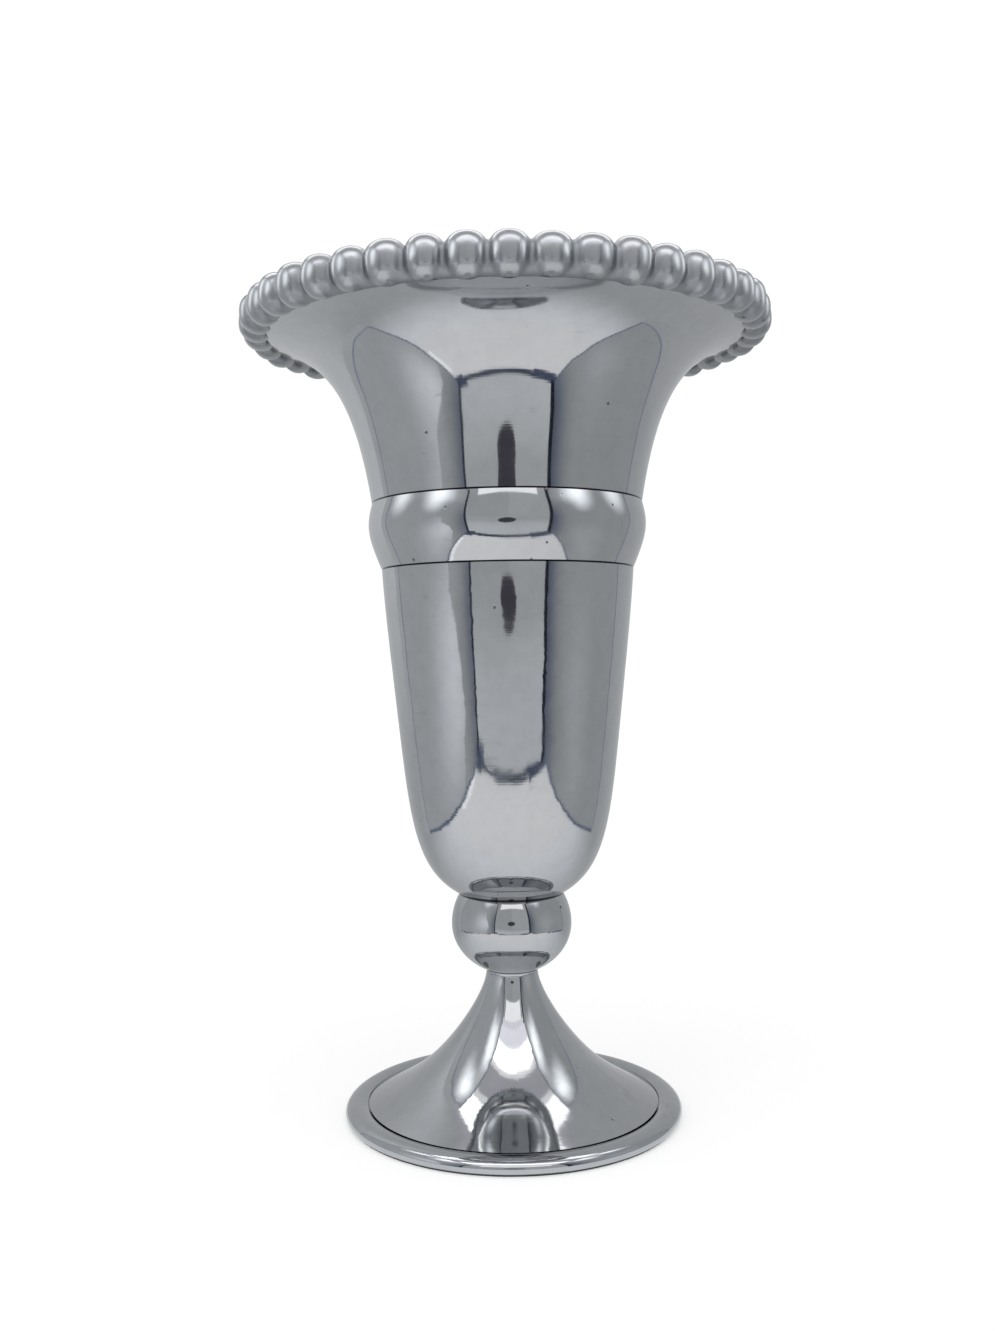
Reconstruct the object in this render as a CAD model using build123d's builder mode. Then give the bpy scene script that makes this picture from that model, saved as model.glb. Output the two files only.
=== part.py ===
from build123d import *
from math import acos, asin, degrees, pi, sin, sqrt
import os

# Trumpet vase in polished cast aluminium: a flared bell with a beaded rim, a girdle, a
# round-bottomed cup, a ball knop and a hollow flared foot, drawn together by one bolt.
# Millimetres, +Z up. The origin is the middle of the underside, on the surface it stands on.

os.makedirs("parts", exist_ok=True)

# Base pad and foot rim
pad_thickness = 0.8
pad_inset = 0.6
foot_rim_seat_thickness = 1.4
foot_rim_seat_width = 7.7
roll_inner_reach = 3.5
roll_rise = 1.6
roll_half_width = 5.2
roll_half_height = 3.55

# Foot cone
skirt_radius = 57.7
skirt_edge_height = 3.1
skirt_land_width = 4.0
groove_width = 0.6
stem_radius = 10.3
stem_seat_margin = 0.1
foot_cone_height = 55.1
foot_wall = 3.0
neck_length = 21.3
neck_roof_margin = 1.5
foot_curve_shares = ((0.406, 0.192), (0.525, 0.219), (1.016, 0.777))
foot_inner_shares = (0.09, 0.2, 0.33, 0.46, 0.6)

# Ball knop
knop_radius = 24.0
knop_lower_drop = 20.2
knop_upper_height = 12.4

# Cup
cup_height = 129.1
cup_seat_margin = 0.25
cup_top_radius = 50.1
cup_wall = 3.8
cup_floor_thickness = 5.0
cup_floor_margin = 2.0
cup_curve_shares = ((0.83, 0.104), (0.61, 0.322), (0.915, 0.677))
cup_inner_shares = (0.14, 0.26, 0.4, 0.55, 0.7)

# Girdle
girdle_height = 26.0
girdle_widening = 3.6
girdle_curve_reach = 6.0
girdle_curve_shares = ((0.99, 0.536), (0.98, 0.666))

# Bell
bell_height = 63.9
bell_lip_radius = 94.0
bell_lip_thickness = 2.3
bell_lip_seat_width = 4.0
bell_wall = 3.4
bell_curve_shares = ((0.172, 0.703), (0.477, 0.911))
bell_inner_shares = (0.2, 0.34, 0.5, 0.66, 0.8, 0.9)

# Lap joints between bell, girdle and cup
lap_length = 8.0
lap_thickness = 2.2
lap_lip_thickness = 2.3
lap_clearance = 0.15
lap_end_gap = 0.3
joint_edge_break = 0.3
edge_search_margin = 0.01

# Beaded rim
rim_flange_inset = 0.3
rim_flange_nose = 0.7
rim_fit_clearance = 0.2
land_reach = 2.0
land_tube_radius = 3.8
land_rise = 2.6
bead_count = 44
bead_reach = 3.6
bead_gap = 0.34
bead_half_depth = 6.8
bead_half_height = 6.8
bead_rise = 6.3

# Centring bosses, from each piece into the one below it
cup_boss_radius = 9.0
knop_boss_radius = 6.8
boss_length = 3.0
boss_clearance = 0.15
boss_end_gap = 0.3

# Tie bolt and what it carries
bolt_radius = 4.0
bolt_hole_clearance = 0.4
bolt_head_radius = 9.0
bolt_head_height = 5.0
bolt_head_rim_height = 1.6
bolt_socket_radius = 2.9
bolt_socket_depth = 3.0
bolt_tail_length = 3.0
bolt_tail_chamfer = 0.8
seal_radius = 11.0
seal_thickness = 1.5
clamp_washer_radius = 12.5
clamp_washer_thickness = 2.0
spring_washer_radius = 6.8
spring_washer_thickness = 2.0
spring_washer_gap = 1.2
nut_radius = 7.5
nut_height = 6.5
nut_corner_drop = 0.9
thread_clearance = 0.1

# Heights of the joints, stacked from the ground up
roll_centre_height = pad_thickness + roll_rise
foot_seat_height = pad_thickness + foot_rim_seat_thickness
stem_top_height = foot_seat_height + foot_cone_height
knop_bottom_radius = stem_radius + stem_seat_margin
knop_lower_height = knop_lower_drop * sqrt(1 - (knop_bottom_radius / knop_radius) ** 2)
knop_centre_height = stem_top_height + knop_lower_height
knop_top_height = knop_centre_height + knop_upper_height
cup_floor_height = knop_top_height + cup_floor_thickness
cup_top_height = knop_top_height + cup_height
girdle_top_height = cup_top_height + girdle_height
bell_lip_height = girdle_top_height + bell_height
bell_seat_height = bell_lip_height + bell_lip_thickness
land_height = bell_lip_height + land_rise
bead_height = bell_lip_height + bead_rise
neck_roof_height = stem_top_height - neck_length

# Radii that follow from the sizes above
bolt_hole_radius = bolt_radius + bolt_hole_clearance
foot_rim_bore_radius = skirt_radius - foot_rim_seat_width
foot_rim_wall_radius = skirt_radius + groove_width
roll_centre_radius = foot_rim_wall_radius + roll_inner_reach
neck_roof_radius = clamp_washer_radius + neck_roof_margin
knop_top_radius = sqrt(knop_radius**2 - knop_upper_height**2)
cup_seat_radius = knop_top_radius + cup_seat_margin
cup_floor_radius = seal_radius + cup_floor_margin
cup_socket_radius = cup_top_radius - lap_lip_thickness
girdle_lap_radius = cup_socket_radius - lap_clearance
girdle_top_radius = cup_top_radius + girdle_widening
girdle_socket_radius = girdle_top_radius - lap_lip_thickness
bell_lap_radius = girdle_socket_radius - lap_clearance
bell_seat_radius = bell_lip_radius - bell_lip_seat_width
land_radius = bell_lip_radius + land_reach
bead_circle_radius = bell_lip_radius + bead_reach
bead_half_width = bead_circle_radius * sin(pi / bead_count) - bead_gap / 2


def between(start, end, shares):
    """Points placed by shares of the way across and up from one corner of an outline to another."""
    across, up = end[0] - start[0], end[1] - start[1]
    return [(start[0] + across * s, start[1] + up * t) for s, t in shares]


def wall_points(curve, wall, shares):
    """Points a wall's thickness to the left of a curve, at shares of its length."""
    points = []
    for share in shares:
        along = curve % share
        points.append(curve @ share + Vector(-along.Y, along.X) * wall)
    return points


def ring_edges(solid, radius, height):
    """Round edges about the vase's axis, of one radius at one height."""
    rings = solid.edges().filter_by(GeomType.CIRCLE)
    rings = rings.filter_by(lambda edge: abs(edge.radius - radius) < edge_search_margin)
    return rings.filter_by(lambda edge: abs(edge.arc_center.Z - height) < edge_search_margin)


# Base pad: a felt ring glued under the foot rim
roll_base_share = roll_rise / roll_half_height
foot_rim_base_radius = roll_centre_radius + roll_half_width * sqrt(1 - roll_base_share**2)
with BuildPart() as base_pad:
    with BuildSketch():
        Circle(foot_rim_base_radius - pad_inset)
        Circle(foot_rim_bore_radius + pad_inset, mode=Mode.SUBTRACT)
    extrude(amount=pad_thickness)
base_pad.part.label = "base_pad"

# Foot rim: a rounded roll with a flat seat inside it, where the cone's skirt stands
roll_inner_angle = degrees(acos(-roll_inner_reach / roll_half_width))
roll_base_angle = -degrees(asin(roll_base_share))
with BuildPart() as foot_rim:
    with BuildSketch(Plane.XZ):
        with BuildLine():
            roll = EllipticalCenterArc(
                (roll_centre_radius, roll_centre_height),
                roll_half_width,
                roll_half_height,
                start_angle=roll_base_angle,
                arc_size=roll_inner_angle - roll_base_angle,
            )
            Polyline(
                roll @ 1,
                (foot_rim_wall_radius, foot_seat_height),
                (foot_rim_bore_radius, foot_seat_height),
                (foot_rim_bore_radius, pad_thickness),
                roll @ 0,
            )
        make_face()
    revolve(axis=Axis.Z)
foot_rim.part.label = "foot_rim"

# Foot cone: a narrow stem that flares to the skirt, hollow from below up to a flat roof
skirt_top_height = foot_seat_height + skirt_edge_height
with BuildPart() as foot_cone:
    with BuildSketch(Plane.XZ):
        with BuildLine():
            skirt_top = (skirt_radius, skirt_top_height)
            stem_top = (stem_radius, stem_top_height)
            flare = Bezier(skirt_top, *between(skirt_top, stem_top, foot_curve_shares), stem_top)
            skirt_land = (skirt_radius - skirt_land_width, foot_seat_height)
            hollow = Spline(skirt_land, *wall_points(flare, foot_wall, foot_inner_shares))
            Polyline(
                stem_top,
                (bolt_hole_radius, stem_top_height),
                (bolt_hole_radius, neck_roof_height),
                (neck_roof_radius, neck_roof_height),
                hollow @ 1,
            )
            Polyline(skirt_land, (skirt_radius, foot_seat_height), skirt_top)
        make_face()
    revolve(axis=Axis.Z)
    with Locations((0, 0, stem_top_height)):
        Hole(knop_boss_radius + boss_clearance, boss_length + boss_end_gap)
foot_cone.part.label = "foot_cone"

# Knop: a ball, round above and slightly flattened below, bored for the bolt
with BuildPart() as knop:
    with BuildSketch(Plane.XZ):
        with BuildLine():
            upper = CenterArc(
                (0, knop_centre_height),
                knop_radius,
                start_angle=0,
                arc_size=degrees(asin(knop_upper_height / knop_radius)),
            )
            lower = EllipticalCenterArc(
                (0, knop_centre_height),
                knop_radius,
                knop_lower_drop,
                start_angle=-degrees(asin(knop_lower_height / knop_lower_drop)),
                arc_size=degrees(asin(knop_lower_height / knop_lower_drop)),
            )
            Polyline(
                upper @ 1,
                (bolt_hole_radius, knop_top_height),
                (bolt_hole_radius, stem_top_height - boss_length),
                (knop_boss_radius, stem_top_height - boss_length),
                (knop_boss_radius, stem_top_height),
                lower @ 0,
            )
        make_face()
    revolve(axis=Axis.Z)
    with Locations((0, 0, knop_top_height)):
        Hole(cup_boss_radius + boss_clearance, boss_length + boss_end_gap)
knop.part.label = "knop"

# Cup: a tapering shell with a round bottom, a thick floor for the bolt and a lap at the top
lap_bottom_height = cup_top_height - lap_length - lap_end_gap
with BuildPart() as cup:
    with BuildSketch(Plane.XZ):
        with BuildLine():
            seat = (cup_seat_radius, knop_top_height)
            lip = (cup_top_radius, cup_top_height)
            side = Bezier(seat, *between(seat, lip, cup_curve_shares), lip)
            ledge = (girdle_lap_radius - lap_thickness, lap_bottom_height)
            floor_edge = (cup_floor_radius, cup_floor_height)
            Spline(
                floor_edge,
                *wall_points(side, cup_wall, cup_inner_shares),
                ledge,
            )
            Polyline(
                ledge,
                (cup_socket_radius, lap_bottom_height),
                (cup_socket_radius, cup_top_height),
                lip,
            )
            Polyline(
                floor_edge,
                (bolt_hole_radius, cup_floor_height),
                (bolt_hole_radius, knop_top_height - boss_length),
                (cup_boss_radius, knop_top_height - boss_length),
                (cup_boss_radius, knop_top_height),
                seat,
            )
        make_face()
    revolve(axis=Axis.Z)
    chamfer(ring_edges(cup.part, cup_top_radius, cup_top_height), joint_edge_break)
cup.part.label = "cup"

# Girdle: a bulged ring, lapped down into the cup, with a socket for the bell's lap
socket_bottom_height = girdle_top_height - lap_length - lap_end_gap
with BuildPart() as girdle:
    with BuildSketch(Plane.XZ):
        with BuildLine():
            bottom = (cup_top_radius, cup_top_height)
            top = (girdle_top_radius, girdle_top_height)
            reach = (cup_top_radius + girdle_curve_reach, girdle_top_height)
            Bezier(bottom, *between(bottom, reach, girdle_curve_shares), top)
            Polyline(
                top,
                (girdle_socket_radius, girdle_top_height),
                (girdle_socket_radius, socket_bottom_height),
                (bell_lap_radius - lap_thickness, socket_bottom_height),
                (girdle_lap_radius - lap_thickness, cup_top_height - lap_length),
                (girdle_lap_radius, cup_top_height - lap_length),
                (girdle_lap_radius, cup_top_height),
                bottom,
            )
        make_face()
    revolve(axis=Axis.Z)
    chamfer(ring_edges(girdle.part, cup_top_radius, cup_top_height), joint_edge_break)
    chamfer(ring_edges(girdle.part, girdle_top_radius, girdle_top_height), joint_edge_break)
girdle.part.label = "girdle"

# Bell: the flared shell, lapped down into the girdle, with a flat seat on its lip for the rim
with BuildPart() as bell:
    with BuildSketch(Plane.XZ):
        with BuildLine():
            waist = (girdle_top_radius, girdle_top_height)
            lip = (bell_lip_radius, bell_lip_height)
            flare = Bezier(waist, *between(waist, lip, bell_curve_shares), lip)
            lap_foot = (bell_lap_radius - lap_thickness, girdle_top_height - lap_length)
            rim_seat = (bell_seat_radius, bell_seat_height)
            Spline(
                lap_foot,
                *wall_points(flare, bell_wall, bell_inner_shares),
                rim_seat,
                tangents=((0, 1), tuple(flare % 1)[:2]),
            )
            Polyline(rim_seat, (bell_lip_radius, bell_seat_height), lip)
            Polyline(
                lap_foot,
                (bell_lap_radius, girdle_top_height - lap_length),
                (bell_lap_radius, girdle_top_height),
                waist,
            )
        make_face()
    revolve(axis=Axis.Z)
    chamfer(ring_edges(bell.part, girdle_top_radius, girdle_top_height), joint_edge_break)
bell.part.label = "bell"

# One bead of the rim: a tall round lobe
with BuildPart() as bead:
    Sphere(bead_half_width)
    scale(by=(bead_half_depth / bead_half_width, 1, bead_half_height / bead_half_width))

# Beaded rim: a ring that sits on the bell's lip and drops over its edge, with the beads cast on
# and the seat for the lip turned out of them
rim_drop_radius = bell_lip_radius + rim_fit_clearance
rim_nose_radius = bell_seat_radius + rim_flange_inset
with BuildPart() as beaded_rim:
    with BuildSketch(Plane.XZ):
        with BuildLine():
            land = ThreePointArc(
                (land_radius, land_height - land_tube_radius),
                (land_radius + land_tube_radius, land_height),
                (land_radius, land_height + land_tube_radius),
            )
            Polyline(
                land @ 1,
                (rim_nose_radius, bell_seat_height + rim_flange_nose),
                (rim_nose_radius, bell_seat_height),
                (rim_drop_radius, bell_seat_height),
                (rim_drop_radius, land_height - land_tube_radius),
                land @ 0,
            )
        make_face()
    revolve(axis=Axis.Z)
    with Locations((0, 0, bead_height)):
        with PolarLocations(bead_circle_radius, bead_count, start_angle=-90):
            add(bead.part)
    with BuildSketch(Plane.XY.offset(bell_seat_height)):
        Circle(rim_drop_radius)
    extrude(amount=-bead_half_height, mode=Mode.SUBTRACT)
beaded_rim.part.label = "beaded_rim"

# Seal: a soft washer on the cup's floor
with BuildPart() as bolt_seal:
    with BuildSketch(Plane.XY.offset(cup_floor_height)):
        Circle(seal_radius)
        Circle(bolt_hole_radius, mode=Mode.SUBTRACT)
    extrude(amount=seal_thickness)
bolt_seal.part.label = "bolt_seal"

# Tie bolt: a domed head with a hexagon socket inside the cup, and a shank down into the foot
bolt_head_seat_height = cup_floor_height + seal_thickness
nut_bottom_height = neck_roof_height - clamp_washer_thickness - spring_washer_thickness - nut_height
bolt_tail_height = nut_bottom_height - bolt_tail_length
bolt_crown_height = bolt_head_seat_height + bolt_head_height
with BuildPart() as tie_bolt:
    with BuildSketch(Plane.XZ):
        with BuildLine():
            head_rim = (bolt_head_radius, bolt_head_seat_height + bolt_head_rim_height)
            TangentArc((0, bolt_crown_height), head_rim, tangent=(1, 0))
            Polyline(
                head_rim,
                (bolt_head_radius, bolt_head_seat_height),
                (bolt_radius, bolt_head_seat_height),
                (bolt_radius, bolt_tail_height + bolt_tail_chamfer),
                (bolt_radius - bolt_tail_chamfer, bolt_tail_height),
                (0, bolt_tail_height),
                (0, bolt_crown_height),
            )
        make_face()
    revolve(axis=Axis.Z)
    with BuildSketch(Plane.XY.offset(bolt_crown_height)):
        RegularPolygon(bolt_socket_radius, 6)
    extrude(amount=-bolt_socket_depth, mode=Mode.SUBTRACT)
tie_bolt.part.label = "tie_bolt"

# Clamp washer: a wide plate under the neck's roof
with BuildPart() as clamp_washer:
    with BuildSketch(Plane.XY.offset(neck_roof_height)):
        Circle(clamp_washer_radius)
        Circle(bolt_hole_radius, mode=Mode.SUBTRACT)
    extrude(amount=-clamp_washer_thickness)
clamp_washer.part.label = "clamp_washer"

# Spring washer: a split ring under the plate
spring_washer_top = neck_roof_height - clamp_washer_thickness
with BuildPart() as spring_washer:
    with BuildSketch(Plane.XY.offset(spring_washer_top)):
        Circle(spring_washer_radius)
        Circle(bolt_hole_radius, mode=Mode.SUBTRACT)
        with Locations((spring_washer_radius / 2, 0)):
            Rectangle(spring_washer_radius, spring_washer_gap, mode=Mode.SUBTRACT)
    extrude(amount=-spring_washer_thickness)
spring_washer.part.label = "spring_washer"

# Tie nut: a hexagon nut with its corners turned down at both ends
with BuildPart() as tie_nut:
    with BuildSketch(Plane.XY.offset(nut_bottom_height)):
        RegularPolygon(nut_radius, 6)
        Circle(bolt_radius + thread_clearance, mode=Mode.SUBTRACT)
    extrude(amount=nut_height)
    with BuildSketch(Plane.XZ):
        with BuildLine():
            nut_top_height = nut_bottom_height + nut_height
            Polyline(
                (0, nut_bottom_height),
                (nut_radius - nut_corner_drop, nut_bottom_height),
                (nut_radius, nut_bottom_height + nut_corner_drop / 2),
                (nut_radius, nut_top_height - nut_corner_drop / 2),
                (nut_radius - nut_corner_drop, nut_top_height),
                (0, nut_top_height),
                close=True,
            )
        make_face()
    revolve(axis=Axis.Z, mode=Mode.INTERSECT)
tie_nut.part.label = "tie_nut"

pieces = (
    base_pad,
    foot_rim,
    foot_cone,
    knop,
    cup,
    girdle,
    bell,
    beaded_rim,
    bolt_seal,
    tie_bolt,
    clamp_washer,
    spring_washer,
    tie_nut,
)
for piece in pieces:
    export_step(piece.part, f"parts/{piece.part.label}.step")
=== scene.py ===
import random
from math import asin, copysign, cos, pi, radians, sin

import bmesh
import bpy
from bpy.props import FloatProperty, FloatVectorProperty, IntProperty, PointerProperty
from mathutils import Euler, Matrix, Vector


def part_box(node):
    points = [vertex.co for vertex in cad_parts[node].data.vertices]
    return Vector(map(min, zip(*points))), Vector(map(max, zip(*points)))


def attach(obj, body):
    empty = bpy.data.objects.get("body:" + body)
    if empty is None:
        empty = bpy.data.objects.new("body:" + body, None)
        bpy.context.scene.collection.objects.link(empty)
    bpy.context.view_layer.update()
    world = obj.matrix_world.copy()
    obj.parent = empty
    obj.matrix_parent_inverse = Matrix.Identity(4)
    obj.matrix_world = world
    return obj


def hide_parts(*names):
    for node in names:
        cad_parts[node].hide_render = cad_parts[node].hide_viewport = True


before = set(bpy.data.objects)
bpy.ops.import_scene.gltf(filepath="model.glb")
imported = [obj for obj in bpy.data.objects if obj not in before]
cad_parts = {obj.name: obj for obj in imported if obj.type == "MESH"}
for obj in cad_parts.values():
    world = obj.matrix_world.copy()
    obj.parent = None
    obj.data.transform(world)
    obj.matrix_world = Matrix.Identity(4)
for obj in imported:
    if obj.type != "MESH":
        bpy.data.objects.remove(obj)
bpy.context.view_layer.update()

bl_info = {
    "name": "Trumpet Vase Looks",
    "version": (1, 0, 0),
    "blender": (4, 5, 0),
    "location": "3D View > Sidebar > Vase",
    "description": "Finishes, small parts and a light tent for a cast aluminium trumpet vase",
    "category": "Object",
}

BODY = "root"

METAL, STEEL, FELT = "polished_aluminium", "fixing_steel", "base_felt"


def top_of(name):
    """Height of a node's highest point."""
    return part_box(name)[1].z


def bottom_of(name):
    """Height of a node's lowest point."""
    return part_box(name)[0].z


# Heights of the joints, read from the pieces that meet there
FOOT_KNOP = top_of("foot_cone")
KNOP_CUP = top_of("knop")
CUP_GIRDLE = top_of("cup")
GIRDLE_BELL = top_of("girdle")
FOOT_FELT = bottom_of("foot_rim")

# How far the dark line spreads from a joint: a tight one, the knop's two, and the one under the cup. The
# tight lines are grime in the joints; the wider bands round the knop and under the cup are grime and also
# painted shade in the creases round the ball
TIGHT, ROUND_KNOP, UNDER_CUP = 0.0005, 0.0007, 0.0012

# The rim's plain ring: a half round land with a flange inside it, on the bell's lip
LAND_RADIUS = 0.0960
LAND_TUBE = 0.0038
LAND_STEP_DEGREES = 15
FLANGE_RADIUS = 0.0903
FLANGE_NOSE = 0.0007
LIP_CLEARANCE = 0.0002
RIM_STEPS = 264
BEAD_SEGMENTS, BEAD_RINGS = 28, 24
BEAD_LEAN = 2
NEARLY_ZERO = 1e-6
SOFTEN_SHARE, SOFTEN_ROUNDS = 0.5, 3

# The felt's ring, its soft edge and how far its cut wanders
FELT_INNER_RADIUS = 0.0506
FELT_EDGE = 0.00022
FELT_CORNER = 0.3
FELT_CUT = (-0.00012, 0.00002)
FELT_STEPS = 720

# The bolt's thread
THREAD_ROOT = 0.00395
THREAD_START = 0.0012
THREAD_FLANK = 0.42
THREAD_CLEARANCE = 0.0001
THREAD_STEPS = 32

# How far each trace takes the metal's colour to the dull one
MOTTLE_DULL, HAZE_DULL, STAIN_DULL, INSIDE_DULL = 0.14, 0.18, 0.45, 0.6
# The bead grooves are duller metal, and their darkening is also painted shade between the beads and on the
# land under them
RIM_DULL, GROOVE_DULL_AND_SHADE = 0.36, 0.85

# How far pits and joints take the metal's colour to the grime colour; at the knop and under the cup this is
# painted shade as well as grime
PIT_GRIME, JOINT_GRIME_AND_SHADE = 0.75, 0.85

# Roughness that each trace adds to the metal
STREAK_ROUGH, PIT_ROUGH, STAIN_ROUGH, SCRATCH_ROUGH = 0.015, 0.3, 0.12, 0.05
INSIDE_ROUGH, RIM_ROUGH, GROOVE_ROUGH = 0.22, 0.2, 0.22


# Sizes and colours that a user would change


class VaseMetal(bpy.types.PropertyGroup):
    """The polished aluminium."""

    colour: FloatVectorProperty(
        name="Metal Colour", description="Colour of the polished metal",
        subtype="COLOR", size=3, min=0.0, max=1.0, default=(0.485, 0.495, 0.508),
    )
    # In the bead grooves this colour also paints the shade between and under the beads
    dull_and_shade_colour: FloatVectorProperty(
        name="Dull and Shade Colour", description="Colour of the metal where it is left unpolished",
        subtype="COLOR", size=3, min=0.0, max=1.0, default=(0.30, 0.31, 0.325),
    )
    # Also the colour of the painted shade in the creases round the knop and under the cup
    grime_and_shade_colour: FloatVectorProperty(
        name="Grime Colour", description="Colour of the dirt in the joints and pits",
        subtype="COLOR", size=3, min=0.0, max=1.0, default=(0.035, 0.038, 0.048),
    )
    gloss_roughness: FloatProperty(
        name="Polish Roughness", description="Roughness of the best polished metal",
        min=0.0, max=1.0, default=0.035,
    )
    haze_roughness: FloatProperty(
        name="Haze Roughness", description="Roughness added where the polish is hazy",
        min=0.0, max=1.0, default=0.045,
    )
    line_spacing: FloatProperty(
        name="Turning Line Spacing", description="Distance between the finest turning lines",
        subtype="DISTANCE", unit="LENGTH", min=0.0001, default=0.0006,
    )
    line_depth: FloatProperty(
        name="Turning Line Depth", description="Depth of the turning lines",
        subtype="DISTANCE", unit="LENGTH", min=0.0, precision=6, default=0.0000035,
    )
    wave_length: FloatProperty(
        name="Wave Length", description="Length of the slow waves that hand polishing leaves",
        subtype="DISTANCE", unit="LENGTH", min=0.001, default=0.028,
    )
    wave_depth: FloatProperty(
        name="Wave Depth", description="Depth of the slow waves",
        subtype="DISTANCE", unit="LENGTH", min=0.0, precision=6, default=0.0003,
    )
    pit_spacing: FloatProperty(
        name="Pit Spacing", description="Typical distance between casting pits",
        subtype="DISTANCE", unit="LENGTH", min=0.0005, default=0.006,
    )
    pit_depth: FloatProperty(
        name="Pit Depth", description="Depth of the casting pits",
        subtype="DISTANCE", unit="LENGTH", min=0.0, precision=6, default=0.00012,
    )


class VaseRim(bpy.types.PropertyGroup):
    """The ring of beads at the mouth."""

    bead_count: IntProperty(
        name="Beads", description="Number of beads round the rim",
        min=8, max=80, default=44,
    )
    circle_radius: FloatProperty(
        name="Bead Circle", description="Radius of the circle through the beads' middles",
        subtype="DISTANCE", unit="LENGTH", default=0.0974,
    )
    centre_height: FloatProperty(
        name="Bead Height", description="Height of the beads' middles",
        subtype="DISTANCE", unit="LENGTH", default=0.3124,
    )
    half_depth: FloatProperty(
        name="Bead Half Depth", description="Half a bead's size across the rim",
        subtype="DISTANCE", unit="LENGTH", default=0.0068,
    )
    half_width: FloatProperty(
        name="Bead Half Width", description="Half a bead's size along the rim",
        subtype="DISTANCE", unit="LENGTH", default=0.0075,
    )
    half_height: FloatProperty(
        name="Bead Half Height", description="Half a bead's height",
        subtype="DISTANCE", unit="LENGTH", default=0.0076,
    )
    fullness: FloatProperty(
        name="Fullness",
        description="1 for plain ellipsoids, less for beads with a flatter front and fuller ends",
        min=0.4, max=1.0, default=0.78,
    )
    taper: FloatProperty(
        name="Taper", description="How much narrower the beads are at the bottom",
        min=0.0, max=0.5, default=0.2,
    )
    unevenness: FloatProperty(
        name="Unevenness", description="How much the cast beads differ from each other",
        min=0.0, max=0.2, default=0.045,
    )
    voxel: FloatProperty(
        name="Casting Grain", description="Voxel size with which the beads and the ring are fused",
        subtype="DISTANCE", unit="LENGTH", min=0.0004, precision=5, default=0.00075,
    )


class VaseFixings(bpy.types.PropertyGroup):
    """The felt, the seal and the bolt."""

    felt_colour: FloatVectorProperty(
        name="Felt Colour", description="Colour of the felt under the foot",
        subtype="COLOR", size=3, min=0.0, max=1.0, default=(0.03, 0.036, 0.05),
    )
    steel_colour: FloatVectorProperty(
        name="Steel Colour", description="Colour of the zinc-plated bolt, nut and washers",
        subtype="COLOR", size=3, min=0.0, max=1.0, default=(0.48, 0.48, 0.47),
    )
    rubber_colour: FloatVectorProperty(
        name="Rubber Colour", description="Colour of the seal",
        subtype="COLOR", size=3, min=0.0, max=1.0, default=(0.03, 0.03, 0.032),
    )
    thread_pitch: FloatProperty(
        name="Thread Pitch", description="Pitch of the bolt's screw thread",
        subtype="DISTANCE", unit="LENGTH", min=0.0005, precision=5, default=0.00125,
    )
    thread_depth: FloatProperty(
        name="Thread Depth", description="Height of the bolt's screw thread",
        subtype="DISTANCE", unit="LENGTH", min=0.0, precision=5, default=0.00035,
    )


class VaseStage(bpy.types.PropertyGroup):
    """The light tent, the floor and the camera."""

    floor_size: FloatProperty(
        name="Floor Size", description="Width of the pale floor",
        subtype="DISTANCE", unit="LENGTH", min=1.0, default=40.0,
    )
    floor_colour: FloatVectorProperty(
        name="Floor Colour", description="Colour of the floor",
        subtype="COLOR", size=3, min=0.0, max=1.0, default=(0.9, 0.9, 0.905),
    )
    camera_distance: FloatProperty(
        name="Camera Distance", description="Distance from the vase's axis to the camera",
        subtype="DISTANCE", unit="LENGTH", default=0.5081,
    )
    camera_height: FloatProperty(
        name="Camera Height", description="Height of the camera",
        subtype="DISTANCE", unit="LENGTH", default=0.1845,
    )
    camera_azimuth: FloatProperty(
        name="Camera Azimuth", description="Turn of the camera round the vase's axis",
        subtype="ANGLE", unit="ROTATION", default=radians(-1.0),
    )
    camera_pitch: FloatProperty(
        name="Camera Pitch", description="How far the camera looks down",
        subtype="ANGLE", unit="ROTATION", default=radians(0.72),
    )
    camera_roll: FloatProperty(
        name="Camera Roll", description="Lean of the camera",
        subtype="ANGLE", unit="ROTATION", default=radians(0.65),
    )
    camera_aim: FloatProperty(
        name="Camera Aim", description="How far left of the vase's axis the camera looks",
        subtype="ANGLE", unit="ROTATION", default=radians(0.41),
    )
    lens: FloatProperty(
        name="Lens", description="Focal length in millimetres, on a 36 mm sensor",
        min=10.0, default=34.27,
    )
    tent_half_width: FloatProperty(
        name="Tent Half Width", description="Distance from the axis to the tent's side walls",
        subtype="DISTANCE", unit="LENGTH", default=0.285,
    )
    tent_front: FloatProperty(
        name="Tent Front", description="Distance from the axis to the tent's open front",
        subtype="DISTANCE", unit="LENGTH", default=0.43,
    )
    tent_back: FloatProperty(
        name="Tent Back", description="Distance from the axis to the end of the side walls",
        subtype="DISTANCE", unit="LENGTH", default=0.10,
    )
    tent_height: FloatProperty(
        name="Tent Height", description="Height of the tent's ceiling",
        subtype="DISTANCE", unit="LENGTH", default=0.56,
    )


# Node helpers


def node(tree, kind, links=None, **settings):
    """Adds a node, sets its properties, and sets or links its inputs by name or number."""
    made = tree.nodes.new(kind)
    for name, value in settings.items():
        setattr(made, name, value)
    for key, value in (links or {}).items():
        if isinstance(value, bpy.types.NodeSocket):
            tree.links.new(value, made.inputs[key])
        else:
            made.inputs[key].default_value = value
    return made


def calc(tree, operation, *values, clamp=False):
    """A Math node's result."""
    made = node(tree, "ShaderNodeMath", dict(enumerate(values)), operation=operation, use_clamp=clamp)
    return made.outputs[0]


def vector_calc(tree, operation, *values):
    """A Vector Math node's outputs."""
    return node(tree, "ShaderNodeVectorMath", dict(enumerate(values)), operation=operation).outputs


def split(tree, vector):
    """A vector's x, y and z."""
    return node(tree, "ShaderNodeSeparateXYZ", {0: vector}).outputs


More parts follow.
